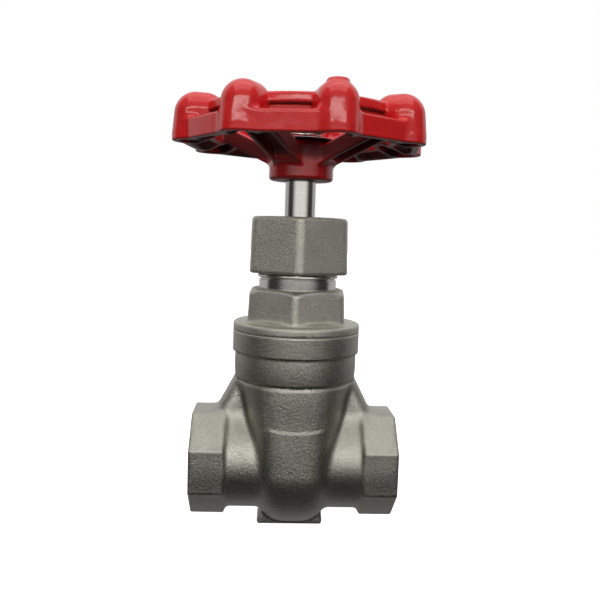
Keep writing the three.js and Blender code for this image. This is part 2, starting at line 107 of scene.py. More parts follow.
def add_mesh(name, points, faces, sharp=180):
    """A smooth-shaded object, with edges past the sharp angle in degrees shaded sharp."""
    mesh = bpy.data.meshes.new(name)
    shifted = (np.asarray(points, float) + [0, 0, PIPE]) * MM
    mesh.from_pydata(shifted.tolist(), [], [list(map(int, f)) for f in faces])
    mesh.validate()
    mesh.update()
    mesh.polygons.foreach_set("use_smooth", [True] * len(mesh.polygons))
    mesh.set_sharp_from_angle(angle=math.radians(sharp))
    piece = bpy.data.objects.new(name, mesh)
    bpy.context.scene.collection.objects.link(piece)
    return piece


def crossings(values, coords, axis):
    """Where the field changes sign along one axis: cell indices, points and the side that is inside."""
    here = [slice(None)] * 3
    there = [slice(None)] * 3
    here[axis] = slice(0, -1)
    there[axis] = slice(1, None)
    inside = values < 0
    found = np.argwhere(inside[tuple(here)] != inside[tuple(there)])
    i, j, k = found.T
    first = values[i, j, k]
    step = np.eye(3, dtype=int)[axis]
    second = values[i + step[0], j + step[1], k + step[2]]
    share = first / (first - second)
    points = np.stack([coords[n][found[:, n]] for n in range(3)], 1)
    size = coords[axis][1] - coords[axis][0]
    points[:, axis] += share * size
    return found, points, first < 0


def contour(field, low, high, size):
    """Points and faces of a field's zero surface, with sharp edges kept. Cells are size millimetres wide."""
    coords = [np.arange(low[n], high[n] + size, size) for n in range(3)]
    values = field(*np.meshgrid(*coords, indexing="ij"))
    shape = np.array(values.shape)
    edges = []
    for axis in range(3):
        found, points, starts_inside = crossings(values, coords, axis)
        edges.append((axis, found, points, starts_inside))
    every = np.concatenate([e[2] for e in edges])
    normals = gradient(field, every, size * GRADIENT_SHARE)
    side = 0
    rows, spots, facing, quads = [], [], [], []
    for axis, found, points, starts_inside in edges:
        across = [n for n in range(3) if n != axis]
        count = len(found)
        around = []
        for a, b in ((0, 0), (1, 0), (1, 1), (0, 1)):
            cell = found.copy()
            cell[:, across[0]] -= a
            cell[:, across[1]] -= b
            around.append((cell[:, 0] * shape[1] + cell[:, 1]) * shape[2] + cell[:, 2])
            rows.append(around[-1])
            spots.append(points)
            facing.append(normals[side : side + count])
        quad = np.stack(around, 1)
        flip = starts_inside if axis == 1 else ~starts_inside
        quad[flip] = quad[flip][:, ::-1]
        quads.append(quad)
        side += count
    rows, spots, facing = np.concatenate(rows), np.concatenate(spots), np.concatenate(facing)
    used, where = np.unique(rows, return_inverse=True)
    count = np.bincount(where).astype(float)
    middle = np.stack([np.bincount(where, spots[:, n]) for n in range(3)], 1) / count[:, None]
    offset = np.einsum("ij,ij->i", facing, spots - middle[where])
    matrix = np.zeros((len(used), 3, 3))
    right = np.zeros((len(used), 3))
    for a in range(3):
        right[:, a] = np.bincount(where, facing[:, a] * offset)
        for b in range(3):
            matrix[:, a, b] = np.bincount(where, facing[:, a] * facing[:, b])
    matrix += np.eye(3) * MIDDLE_WEIGHT
    shift = np.linalg.solve(matrix, right[:, :, None])[:, :, 0]
    middle += np.clip(shift, -MOST_SHIFT * size, MOST_SHIFT * size)
    return middle, np.searchsorted(used, np.concatenate(quads))


def gradient(field, points, step):
    """Unit vectors along which the field grows."""
    slopes = []
    for n in range(3):
        shift = np.eye(3)[n] * step
        ahead = field(*(points + shift).T)
        behind = field(*(points - shift).T)
        slopes.append(ahead - behind)
    slopes = np.stack(slopes, 1)
    return slopes / np.maximum(np.linalg.norm(slopes, axis=1, keepdims=True), 1e-9)


def carved(name, field, low, high, size):
    """A piece made from a field between two corners."""
    points, faces = contour(field, low, high, size * COARSE)
    return add_mesh(name, points, faces)


def lathe(name, profile, segments=96, bevel=0.0):
    """A turned piece about Z from a closed loop of (radius, z), anticlockwise with radius to the right."""
    outline = rounded(profile, bevel) if bevel else profile
    points, faces = [], []
    count = len(outline)
    for i in range(segments):
        angle = 2 * math.pi * i / segments
        points += [(r * math.cos(angle), r * math.sin(angle), z) for r, z in outline]
    for i in range(segments):
        nxt = (i + 1) % segments
        for j in range(count):
            k = (j + 1) % count
            faces.append((i * count + j, nxt * count + j, nxt * count + k, i * count + k))
    return add_mesh(name, points, faces, TURNED_EDGE)


def rounded(profile, size, steps=3):
    """The same loop of points with each corner rounded."""
    made = []
    count = len(profile)
    for i in range(count):
        here = np.array(profile[i], float)
        back = np.array(profile[i - 1], float) - here
        ahead = np.array(profile[(i + 1) % count], float) - here
        reach = min(size, MOST_BEVEL * np.linalg.norm(back), MOST_BEVEL * np.linalg.norm(ahead))
        start = here + back / np.linalg.norm(back) * reach
        end = here + ahead / np.linalg.norm(ahead) * reach
        made.append(tuple(start + back / np.linalg.norm(back) * BEVEL_SUPPORT * reach))
        for n in range(steps + 1):
            t = n / steps
            made.append(tuple((1 - t) ** 2 * start + 2 * t * (1 - t) * here + t * t * end))
        made.append(tuple(end + ahead / np.linalg.norm(ahead) * BEVEL_SUPPORT * reach))
    return made


def thread_height(angle, along, pitch):
    """Height of a rounded vee thread, from 0 at the root to 1 at the crest."""
    turn = (along / pitch - angle / (2 * math.pi)) % 1.0
    wave = 1 - np.abs(2 * turn - 1)
    return np.clip((1 + 2 * THREAD_FLAT) * wave - THREAD_FLAT, 0, 1)


def rod_rows(profile, thread_from, thread_to, pitch):
    """Points down a rod's side: close together on the thread, and supported at the ends of other faces."""
    rows = []
    for (r0, z0), (r1, z1) in zip(profile, profile[1:]):
        length = math.hypot(r1 - r0, z1 - z0)
        fine = thread_from - 0.1 <= min(z0, z1) and max(z0, z1) <= thread_to + 0.1
        shares = [0]
        if fine:
            count = max(1, math.ceil(length / (pitch / 10)))
            shares = [i / count for i in range(count)]
        elif length > 3 * SUPPORT:
            shares = [0, SUPPORT / length, 1 - SUPPORT / length]
        rows += [(r0 + (r1 - r0) * t, z0 + (z1 - z0) * t) for t in shares]
    return rows + [profile[-1]]


def threaded_rod(name, profile, thread_from, thread_to, pitch, depth, bore=0.0, segments=96):
    """A turned piece with a real helical thread on part of its outside, and a plain bore if it has one."""
    rows = rod_rows(profile, thread_from, thread_to, pitch)
    angles = [2 * math.pi * i / segments for i in range(segments)]
    points, faces = [], []
    for r, z in rows:
        starts = step_up(z, thread_from, thread_from + THREAD_FADE)
        fade = float(starts * (1 - step_up(z, thread_to - THREAD_FADE, thread_to)))
        for angle in angles:
            groove = depth * fade * (1 - float(thread_height(angle, z, pitch)))
            radius = r - groove
            points.append((radius * math.cos(angle), radius * math.sin(angle), z))

    def band(lower, upper):
        """Faces between two rings of points, given by the number of each ring's first point."""
        for i in range(segments):
            k = (i + 1) % segments
            faces.append((lower + i, lower + k, upper + k, upper + i))

    levels = len(rows)
    last = (levels - 1) * segments
    for j in range(levels - 1):
        band(j * segments, (j + 1) * segments)
    if bore:
        for z in (rows[0][1], rows[-1][1]):
            points += [(bore * math.cos(angle), bore * math.sin(angle), z) for angle in angles]
        inner_low, inner_high = levels * segments, (levels + 1) * segments
        band(inner_low, 0)
        band(last, inner_high)
        band(inner_high, inner_low)
    else:
        points += [(0, 0, rows[0][1]), (0, 0, rows[-1][1])]
        bottom, top = levels * segments, levels * segments + 1
        for i in range(segments):
            k = (i + 1) % segments
            faces.append((k, i, bottom))
            faces.append((last + i, last + k, top))
    return add_mesh(name, points, faces, TURNED_EDGE)


# ---------------------------------------------------------------- fields


def union(a, b, k):
    """The nearer of two shapes, with a fillet about k millimetres wide where they meet."""
    h = np.clip(0.5 + 0.5 * (b - a) / k, 0, 1)
    return b + (a - b) * h - k * h * (1 - h)


def cut(a, b, k=0.3):
    """Shape a with b taken away, and its edges rounded a little."""
    return -union(-a, b, k)


def both(a, b, k=0.3):
    """What two shapes share, with its edges rounded a little."""
    return -union(-a, -b, k)


def edge_round(d, w, size):
    """An outline distance and an end distance as one solid with rounded edges."""
    a, b = d + size, w + size
    return np.minimum(np.maximum(a, b), 0) + np.hypot(np.maximum(a, 0), np.maximum(b, 0)) - size


def disc(radial, along, radius, start, end, size=0.3):
    """A solid cylinder from start to end with rounded edges."""
    middle, half = (start + end) / 2, (end - start) / 2
    return edge_round(radial - radius, np.abs(along - middle) - half, size)


def polygon(u, v, sides, apothem, corner, turn=0.0):
    """Distance to a regular polygon with rounded corners. At turn 0 a flat faces along u."""
    sector = 2 * math.pi / sides
    angle = (np.arctan2(v, u) - turn + sector / 2) % sector - sector / 2
    radius = np.hypot(u, v)
    inner = apothem - corner
    p = radius * np.cos(angle) - inner
    q = np.abs(radius * np.sin(angle)) - inner * math.tan(sector / 2)
    return np.where(q > 0, np.hypot(p, q), p) - corner


def block(x, y, z, centre, half, size):
    """A box with rounded edges."""
    d = [np.abs(c - m) - h + size for c, m, h in zip((x, y, z), centre, half)]
    outside = np.sqrt(sum(np.maximum(n, 0) ** 2 for n in d))
    return outside + np.minimum(np.maximum(np.maximum(d[0], d[1]), d[2]), 0) - size


def oval(u, v, half_u, half_v, power):
    """Distance to a superellipse, near its edge."""
    a = np.abs(u / half_u) + 1e-6
    b = np.abs(v / half_v) + 1e-6
    total = (a**power + b**power) ** (1 / power)
    slope = np.hypot((a / total) ** (power - 1) / half_u, (b / total) ** (power - 1) / half_v)
    return (total - 1) / slope


def step_up(value, start, end):
    """0 before start, 1 after end and smooth between them."""
    t = np.clip((value - start) / (end - start), 0, 1)
    return t * t * (3 - 2 * t)


# Body: a drum below the pipe's axis that widens into the round neck, with an octagon at each end.
END = BODY_HIGH[0]
END_APOTHEM = 13.8
END_INNER = 18.4
END_CORNER = 0.7
PIPE_RADIUS = 13.2
PIPE_REACH = 26
DRUM_RADIUS = 16.95
DRUM_HALF = 10.6
DRUM_POWER = 3.1
WEB_HALF = 6.2
WEB_TOP = 23.6
# The rib's slanted face goes through this point and faces this way, both given outwards and up.
WEB_POINT = (16.9, 22.6)
WEB_LEAN = (0.887, 0.461)
WEB_CORNER = 3.6
RING_BOTTOM = 23.3
RING_MIDDLE = 27.2
RING_RADIUS = 16.58
RIM_BOTTOM = 30.6
RIM_RADIUS = 17.2
FOOT_HALF_X = 8.3
FOOT_HALF_Y = 4.4
FOOT_MIDDLE = -14.0
LEDGE = 11.6
LEDGE_DEPTH = 0.14
LEDGE_TOP_FADE = (13.5, 20.5)
LEDGE_SIDE_FADE = (6.5, 8.6)
LEDGE_BACK_FADE = (-9, -7)
PORT_PITCH = 1.814
PORT_CREST = 9.35
PORT_ROOT = 10.45
PORT_DEPTH = 13.2
# Depth in from the end face over which the port's thread runs out.
PORT_FADE = (13.0, 11.6)
PORT_MOUTH = 10.95
FLOW_RADIUS = 7.5
SEAT_SLOPE = math.tan(math.radians(5))
SEAT_HALF = 6.5
SEAT_RADIUS = 10.2
SEAT_BACK = 12.2
SEAT_BORE = 10.7
ROOM_RADIUS = 12.2
ROOM_TOP = 17
THROAT_HEIGHTS = (9, 12, 15.5, 18)
THROAT_RADII = (0, 9, 12, 12.6)
GUIDE_MIDDLE = (0, 11.2, 10)
GUIDE_HALF = (1.5, 2.5, 15)
COVER_BOTTOM = 27.8
COVER_RADIUS = 14.06
GASKET_FLOOR = 35.67
GASKET_RADIUS = 16


def drum(x, y, z):
    """The middle of the casting: a squat cylinder along the pipe, with an oval tube above the axis."""
    low = oval(x, np.hypot(y, z), DRUM_HALF, DRUM_RADIUS, DRUM_POWER)
    up = np.clip(z / RING_BOTTOM, 0, 1)
    ramp = (z + np.sqrt(z * z + 16)) / 2
    half_x = DRUM_HALF + 0.2 * (ramp - 2) + 0.0016 * np.maximum(z, 0) ** 2
    half_y = DRUM_RADIUS - 0.85 * up
    inset = 0.35 * step_up(z, RING_BOTTOM - 1.2, RING_BOTTOM)
    high = oval(x, y, half_x - inset, half_y - inset, DRUM_POWER - 1.05 * up)
    return np.maximum(np.where(z < 0, low, high), z - RING_BOTTOM - 1)


def web(side, y, z):
    """The slanted rib from each end up to the neck."""
    slant = (side - WEB_POINT[0]) * WEB_LEAN[0] + (z - WEB_POINT[1]) * WEB_LEAN[1]
    rib = edge_round(np.abs(y) - WEB_HALF + 0.12 * np.maximum(z - 12, 0), slant, WEB_CORNER)
    return np.maximum(rib, np.maximum(9 - side, np.maximum(8 - z, z - WEB_TOP)))


def body_shell(x, y, z):
    """The casting's outside, filled in."""
    side = np.abs(x)
    pipe = disc(np.hypot(y, z), x, PIPE_RADIUS, -PIPE_REACH, PIPE_REACH)
    made = union(pipe, web(side, y, z), 3.0)
    made = union(made, drum(x, y, z), 1.5)

    octagon = polygon(y, z, 8, END_APOTHEM, END_CORNER)
    octagon = edge_round(octagon, np.abs(side - (END + END_INNER) / 2) - (END - END_INNER) / 2, 0.55)
    made = union(made, octagon, 1.7)

    radial = np.hypot(x, y)
    barrel = RING_RADIUS - 0.012 * (z - RING_MIDDLE - 0.3) ** 2
    ring = edge_round(radial - barrel, np.abs(z - RING_MIDDLE) - (RING_MIDDLE - RING_BOTTOM), 0.35)
    made = union(made, ring, 0.12)
    made = union(made, disc(radial, z, RIM_RADIUS, RIM_BOTTOM, SPLIT, 0.2), 0.3)

    flare = FOOT_HALF_X + np.where(x < 0, 0.4, 0.1) * np.maximum(FOOT_MIDDLE - z, 0)
    foot = np.maximum(np.abs(y) - FOOT_HALF_Y, np.abs(z - FOOT_MIDDLE) - 3.3)
    return union(made, edge_round(side - flare, foot, 0.9), 0.6)


def front_ledge(x, y, z):
    """Depth of the shallow step across the front of the drum."""
    low = LEDGE + 0.011 * x * x
    depth = LEDGE_DEPTH * step_up(z, low - 0.15, low + 0.2) * (1 - step_up(z, *LEDGE_TOP_FADE))
    return depth * (1 - step_up(np.abs(x), *LEDGE_SIDE_FADE)) * (1 - step_up(y, *LEDGE_BACK_FADE))


def port(x, y, z):
    """The threaded port at each end, with its chamfered mouth and the plain way through behind it."""
    radial = np.hypot(y, z)
    side = np.abs(x)
    groove = thread_height(np.arctan2(z, y * np.sign(x)), side, PORT_PITCH)
    fade = step_up(side, END - PORT_FADE[0], END - PORT_FADE[1])
    threaded = radial - (PORT_CREST + (PORT_ROOT - PORT_CREST) * (1 - groove) * fade)
    threaded = np.maximum(threaded, (END - PORT_DEPTH) - side)
    mouth = radial - (PORT_MOUTH - (END - side))
    return np.minimum(np.minimum(threaded, mouth), radial - FLOW_RADIUS)


def wedge_room(x, y, z):
    """The room that the wedge moves in, with its seats, its guides and the funnel up to the bonnet."""
    radial = np.hypot(y, z)
    lean = np.abs(x) - (SEAT_HALF + z * SEAT_SLOPE)
    gap = np.maximum(lean, radial - SEAT_BORE)
    room = np.maximum(lean - 0.8, np.where(z < 0, radial, np.abs(y)) - ROOM_RADIUS)
    room = np.maximum(room, z - ROOM_TOP)
    seats = np.maximum(radial - SEAT_RADIUS, np.abs(x) - SEAT_BACK)
    room = np.minimum(np.maximum(room, -seats), gap)
    throat = np.interp(z, THROAT_HEIGHTS, THROAT_RADII)
    funnel = np.maximum(np.hypot(x, y) - throat, z - COVER_BOTTOM - 0.2)
    guide = block(x, np.abs(y), z, GUIDE_MIDDLE, GUIDE_HALF, 0.3)
    return cut(np.minimum(room, funnel), guide, 0.2)


def body_field(x, y, z):
    radial = np.hypot(x, y)
    cover_bore = np.maximum(radial - COVER_RADIUS, COVER_BOTTOM - z)
    gasket_bore = np.maximum(radial - GASKET_RADIUS, GASKET_FLOOR - z)
    hollow = np.minimum(wedge_room(x, y, z), cover_bore)
    hollow = np.minimum(hollow, np.minimum(gasket_bore, port(x, y, z)))
    return cut(body_shell(x, y, z) + front_ledge(x, y, z), hollow, 0.12)


# Bonnet: a flange and a hexagon; its turned neck is a piece of its own. The gland nut is a hexagon too.
HEX_HALF = 12.5
FLANGE_TOP = 38.54
CROWN_RADIUS = 14.6
BONNET_HEX_TOP = 47.7
BONNET_TURN = math.radians(-4)
SPIGOT_RADIUS = 14.0
BONNET_ROOM = (12, 34.5)
COLLAR_ROOM = (9, 42.1)
PACKING_ROOM = (7.4, 46)
SHAFT_BORE = 4.22
NECK_TOP = BONNET_HIGH[2]
NECK_PITCH = 1.5
NUT_TURN = math.radians(-1)
NUT_CREST = 11.02
NUT_GROOVE = 0.28
NUT_MOUTH = 11.8
NUT_ROOF = 63.95
NUT_HOLE = 4.6


def hexagon_field(x, y, z, bottom, top, corner, turn, edge, widen, cone, drop):
    """A drafted hexagon with one corner towards -Y and its corners cut back to a cone at the top."""
    half = HEX_HALF + widen * (top - z) / (top - bottom)
    flat = polygon(x, y, 6, half, corner, turn)
    made = edge_round(flat, np.abs(z - (top + bottom) / 2) - (top - bottom) / 2, edge)
    slope = math.hypot(1, drop)
    lid = ((z - top) + (np.hypot(x, y) - cone) * drop) / slope
    return both(made, lid, 0.5)


def bonnet_field(x, y, z):
    radial = np.hypot(x, y)
    flange = both(disc(radial, z, RIM_RADIUS, 33, FLANGE_TOP, 0.7), SPLIT + 0.05 - z, 0.12)
    crown = edge_round(radial - CROWN_RADIUS + (z - FLANGE_TOP) * 1.2, np.abs(z - 38.6) - 0.6, 0.3)
    hexes = hexagon_field(
        x, y, z, FLANGE_TOP - 1.5, BONNET_HEX_TOP,
        corner=2.2, turn=BONNET_TURN, edge=0.6, widen=0.45, cone=12.3, drop=0.62)
    made = union(union(flange, crown, 0.5), hexes, 0.9)
    made = np.minimum(made, disc(radial, z, SPIGOT_RADIUS, BONNET_LOW[2], SPLIT + 1, 0.5))
    hollow = radial - SHAFT_BORE
    for radius, roof in (BONNET_ROOM, COLLAR_ROOM):
        hollow = np.minimum(hollow, np.maximum(radial - radius, z - roof))
    radius, floor_height = PACKING_ROOM
    hollow = np.minimum(hollow, np.maximum(radial - radius, floor_height - z))
    return cut(made, hollow, 0.15)


def nut_field(x, y, z):
    radial = np.hypot(x, y)
    bottom, top = NUT_LOW[2], NUT_HIGH[2]
    made = hexagon_field(
        x, y, z, bottom, top,
        corner=2.7, turn=NUT_TURN, edge=0.7, widen=0.4, cone=12.75, drop=0.5)
    groove = thread_height(np.arctan2(y, x), z, NECK_PITCH)
    bore = radial - (NUT_CREST + NUT_GROOVE * (1 - groove))
    bore = np.minimum(bore, radial - (NUT_MOUTH - (z - bottom)))
    hollow = np.maximum(bore, z - NUT_ROOF)
    return cut(made, np.minimum(hollow, radial - NUT_HOLE), 0.2)


# Handwheel: eight hollow round-topped lobes joined by a low skirt and, further in, a hoop with a bead on top.
# Channel spokes, open underneath, run from every second lobe to the hub.
LOBES = 8
FIRST_LOBE = math.radians(13.3)
LOBE_HALF = 5.0
LOBE_INNER = 25.8
LOBE_OUTER = 29.4
LOBE_DRAFT = 0.1
LOBE_WALL = 1.7
LOBE_ROOF = 0.4
SHOULDER = 92.5
RIM_LOW = 85.0
# Half sizes here are across and up.
SKIRT_HALF = (0.9, 4.1)
SKIRT_RADIUS = 30.9
SKIRT_SWELL = 0.9
SKIRT_MIDDLE = 86
HOOP_HALF = (0.9, 3.6)
HOOP_RADIUS = 24.3
HOOP_MIDDLE = 90.2
BEAD_HALF = (1.3, 1.4)
BEAD_LEAN = 0.12
BEAD_RADIUS = 25
BEAD_MIDDLE = 93.6
SPOKES = 4
FIRST_SPOKE = FIRST_LOBE + 2 * math.pi / LOBES
SPOKE_HALF = (4.1, 2.3)
SPOKE_REACH = (3, 27.5)
SPOKE_MIDDLE = 83.4
SPOKE_RISE = 0.44
CHANNEL_HALF = 2.75
CHANNEL_END = 29
CHANNEL_ROOF = 84.2
HUB_RADIUS = 8.6
HUB_LOW = WHEEL_LOW[2]
HUB_HIGH = 86.5
GATE_RADIUS = 2.6
GATE_PLACE = 28
GATE_TOP = 97.75
SQUARE_HALF = 2.95
COUNTERBORE_TOP = 78.2


def folded(x, y, count, first):
    """Distance outwards and sideways from the nearest of several arms; an arm at angle 0 points to -Y."""
    sector = 2 * math.pi / count
    angle = (np.arctan2(x, -y) - first + sector / 2) % sector - sector / 2
    radial = np.hypot(x, y)
    return radial * np.cos(angle), radial * np.sin(angle), angle


def lobe_shape(out, side, z, half, top):
    """A slot-shaped post with a round top, whose outer end leans in as it rises."""
    end = LOBE_OUTER - LOBE_DRAFT * np.maximum(z - RIM_LOW - 2, 0)
    flat = np.hypot(out - np.clip(out, LOBE_INNER, end), side)
    above = np.maximum(z - top, 0)
    return np.hypot(flat, above) - half


def rim(x, y, z):
    """The lobes, the skirt between them and the beaded hoop inside it."""
    radial = np.hypot(x, y)
    out, side, angle = folded(x, y, LOBES, FIRST_LOBE)
    radius = SKIRT_RADIUS + SKIRT_SWELL * (0.5 + 0.5 * np.cos(LOBES * angle))
    skirt = np.abs(radial - (radius - SKIRT_HALF[0])) - SKIRT_HALF[0]
    skirt = edge_round(skirt, np.abs(z - SKIRT_MIDDLE) - SKIRT_HALF[1], 0.5)
    hoop = np.abs(radial - HOOP_RADIUS) - HOOP_HALF[0]
    hoop = edge_round(hoop, np.abs(z - HOOP_MIDDLE) - HOOP_HALF[1], 0.5)
    bead = np.abs(radial - BEAD_RADIUS + BEAD_LEAN * (z - BEAD_MIDDLE)) - BEAD_HALF[0]
    bead = edge_round(bead, np.abs(z - BEAD_MIDDLE) - BEAD_HALF[1], 0.75)
    made = union(skirt, lobe_shape(out, side, z, LOBE_HALF, SHOULDER), 1.6)
    made = both(made, RIM_LOW + np.clip(0.4 * (28 - radial), 0, 2.4) - z, 0.45)
    return union(made, union(hoop, bead, 0.3), 0.5)


def wheel_field(x, y, z):
    radial = np.hypot(x, y)
    near, across, _ = folded(x, y, SPOKES, FIRST_SPOKE)
    rise = SPOKE_RISE * (near - 9)
    upward = np.abs(z - SPOKE_MIDDLE - rise) - SPOKE_HALF[1]
    spoke = edge_round(np.abs(across) - SPOKE_HALF[0], upward, 0.5)
    spoke = np.maximum(spoke, np.maximum(near - SPOKE_REACH[1], SPOKE_REACH[0] - near))
    hub = disc(radial, z, HUB_RADIUS, HUB_LOW, HUB_HIGH, 0.9)
    made = union(rim(x, y, z), union(spoke, hub, 1.2), 1.2)

    out, side, _ = folded(x, y, LOBES, FIRST_LOBE)
    lobe_hollow = lobe_shape(out, side, z, LOBE_HALF - LOBE_WALL, SHOULDER - LOBE_ROOF)
    lobe_hollow = np.maximum(lobe_hollow, 22.5 - out)
    channel = np.maximum(np.abs(across) - CHANNEL_HALF, z - CHANNEL_ROOF - rise)
    channel = np.maximum(channel, np.maximum(HUB_RADIUS + 0.8 - near, near - CHANNEL_END))
    made = cut(made, np.minimum(lobe_hollow, channel), 0.5)

    gate_x = GATE_PLACE * math.sin(FIRST_LOBE) + 0.2
    gate_y = -GATE_PLACE * math.cos(FIRST_LOBE)
    gate = disc(np.hypot(x - gate_x, y - gate_y), z, GATE_RADIUS, 95, GATE_TOP, 0.5)
    made = union(made, gate, 0.9)

    square = np.maximum(np.abs(x), np.abs(y)) - SQUARE_HALF
    bore = np.minimum(square, np.maximum(radial - SHAFT_BORE, z - COUNTERBORE_TOP))
    return cut(made, bore, 0.25)


# Wedge: a disc with two slanted faces, and a block above it that takes the stem's thread.
WEDGE_RADIUS = 10
WEDGE_HALF = 6.35
WEDGE_TOP = 16.5
BLOCK_HALF = (6.6, 6.5, WEDGE_TOP / 2)
GUIDE_SLOT = (1.7, 8.4)
WEDGE_BORE = (4.3, -8)


def wedge_field(x, y, z):
    lean = np.abs(x) - (WEDGE_HALF + z * SEAT_SLOPE)
    plate = both(np.hypot(y, z) - WEDGE_RADIUS, lean, 0.25)
    nut = block(x, y, z, (0, 0, WEDGE_TOP / 2), BLOCK_HALF, 0.6)
    slot = np.maximum(np.abs(x) - GUIDE_SLOT[0], GUIDE_SLOT[1] - np.abs(y))
    bore = np.maximum(np.hypot(x, y) - WEDGE_BORE[0], WEDGE_BORE[1] - z)
    return cut(union(plate, nut, 0.8), np.minimum(slot, bore), 0.25)


# ---------------------------------------------------------------- materials


class Paint:
    """A node material under construction."""

    def __init__(self, name):
        self.material = bpy.data.materials.new(name)
        self.material.use_nodes = True
        self.tree = self.material.node_tree
        self.shader = self.tree.nodes["Principled BSDF"]
        self.coords = self.node("ShaderNodeTexCoord").outputs["Object"]

    def node(self, kind, **settings):
        made = self.tree.nodes.new(kind)
        for key, value in settings.items():
            setattr(made, key, value)
        return made

    def link(self, a, b):
        self.tree.links.new(a, b)

    def fixed(self, **values):
        """Sets shader inputs that are the same all over."""
        for key, value in values.items():
            self.shader.inputs[key.replace("_", " ")].default_value = value

    def noise(self, scale, detail=3.0, rough=0.55, stretch=None):
        made = self.node("ShaderNodeTexNoise")
        made.inputs["Scale"].default_value = scale
        made.inputs["Detail"].default_value = detail
        made.inputs["Roughness"].default_value = rough
        source = self.coords
        if stretch:
            mapping = self.node("ShaderNodeMapping")
            mapping.inputs["Scale"].default_value = stretch
            self.link(self.coords, mapping.inputs["Vector"])
            source = mapping.outputs["Vector"]
        self.link(source, made.inputs["Vector"])
        return made.outputs["Fac"]

    def ramp(self, value, *stops):
        made = self.node("ShaderNodeValToRGB")
        ramp = made.color_ramp
        while len(ramp.elements) < len(stops):
            ramp.elements.new(0.5)
        for element, (place, colour) in zip(ramp.elements, stops):
            element.position = place
            element.color = (*colour, 1) if hasattr(colour, "__len__") else (colour,) * 3 + (1,)
        self.link(value, made.inputs["Fac"])
        return made.outputs["Color"]

    def mix(self, factor, a, b, kind="MIX"):
        made = self.node("ShaderNodeMix", data_type="RGBA", blend_type=kind)
        for socket, value in ((made.inputs[0], factor), (made.inputs[6], a), (made.inputs[7], b)):
            if hasattr(value, "links"):
                self.link(value, socket)
            else:
                socket.default_value = (*value, 1) if hasattr(value, "__len__") else value
        return made.outputs[2]

    def math(self, kind, a, b):
        made = self.node("ShaderNodeMath", operation=kind)
        for socket, value in ((made.inputs[0], a), (made.inputs[1], b)):
            if hasattr(value, "links"):
                self.link(value, socket)
            else:
                socket.default_value = value
        return made.outputs[0]

    def bump(self, height, strength, distance, under=None):
        made = self.node("ShaderNodeBump")
        made.inputs["Strength"].default_value = strength
        made.inputs["Distance"].default_value = distance
        self.link(height, made.inputs["Height"])
        if under is not None:
            self.link(under, made.inputs["Normal"])
        return made.outputs["Normal"]

    def smooth(self, value, low, high, bottom=0.0, top=1.0):
        """Bottom where the value is under low, top where it is over high, and smooth between them."""
        made = self.node("ShaderNodeMapRange", interpolation_type="SMOOTHSTEP")
        for name, number in zip(("From Min", "From Max", "To Min", "To Max"), (low, high, bottom, top)):
            made.inputs[name].default_value = number
        self.link(value, made.inputs["Value"])
        return made.outputs[0]

    def facing(self, low, high, bottom, top):
        """Bottom on faces whose normal's z is under low, top on those where it is over high."""
        parts = self.node("ShaderNodeSeparateXYZ")
        self.link(self.node("ShaderNodeNewGeometry").outputs["Normal"], parts.inputs[0])
        return self.smooth(parts.outputs["Z"], low, high, bottom, top)

    def place(self):
        """Distance from the stem's axis and height above the pipe's axis, in metres."""
        flat = self.node("ShaderNodeVectorMath", operation="MULTIPLY")
        flat.inputs[1].default_value = (1, 1, 0)
        self.link(self.coords, flat.inputs[0])
        radial = self.node("ShaderNodeVectorMath", operation="LENGTH")
        self.link(flat.outputs["Vector"], radial.inputs[0])
        parts = self.node("ShaderNodeSeparateXYZ")
        self.link(self.coords, parts.inputs[0])
        return radial.outputs["Value"], self.math("SUBTRACT", parts.outputs["Z"], PIPE * MM)

    def product(self, *factors):
        made = factors[0]
        for factor in factors[1:]:
            made = self.math("MULTIPLY", made, factor)
        return made

    def to(self, value, socket):
        """Joins a value to one of the shader's inputs."""
        self.link(value, self.shader.inputs[socket])


# Noise scales, in waves per metre.
CLOUDS = 160
GRAIN = 1500
FINE_GRAIN = 4200
STREAKS = 900
ENAMEL_CLOUDS = 110
ENAMEL_WAVES = 190
ORANGE_PEEL = 420
PLASTIC_CLOUDS = 500
BRUSHING = 2600
# A wheel's rim between hoop and skirt and its spokes low down get painted shade and a rougher finish, faded
# in over these millimetres.
HOOP_FADE = (25.2, 26.0)
SKIRT_FADE = (29.4, 30.0)
RIM_FADE = (88.6, 90.2)
SPOKE_END_FADE = (22.8, 23.6)
SPOKE_FOOT_FADE = (80.5, 83.5)
SPOKE_TOP_FADE = (91.0, 92.0)
# Colour painted on the wheel where it lies in shade, and its roughness there.
PAINTED_SHADE_RED = (0.085, 0.026, 0.026)
DULL_ROUGH = (0.5, 0.5, 0.5)
# Painted shade on the wheel plate's edge and underside.
PAINTED_PLATE_SHADE = (0.05, 0.045, 0.05)


def cast_steel(name, tone, rough_low, rough_high):
    """Blasted cast stainless: a grainy grey metal with darker pits."""
    p = Paint(name)
    grain = p.noise(GRAIN, 5, 0.7)
    fine = p.noise(FINE_GRAIN, 2, 0.6)
    dark = (0.43 * tone, 0.42 * tone, 0.366 * tone)
    light = (0.50 * tone, 0.488 * tone, 0.43 * tone)
    base = p.ramp(p.noise(CLOUDS, 3), (0.3, dark), (0.7, light))
    speck = p.ramp(grain, (0.38, 0.70), (0.62, 1.0))
    p.to(p.mix(0.55, base, speck, "MULTIPLY"), "Base Color")
    p.to(p.ramp(grain, (0.3, rough_low), (0.7, rough_high)), "Roughness")
    p.fixed(Metallic=1.0)
    p.to(p.bump(fine, 0.5, 0.00010, p.bump(grain, 0.6, 0.00022)), "Normal")
    return p.material


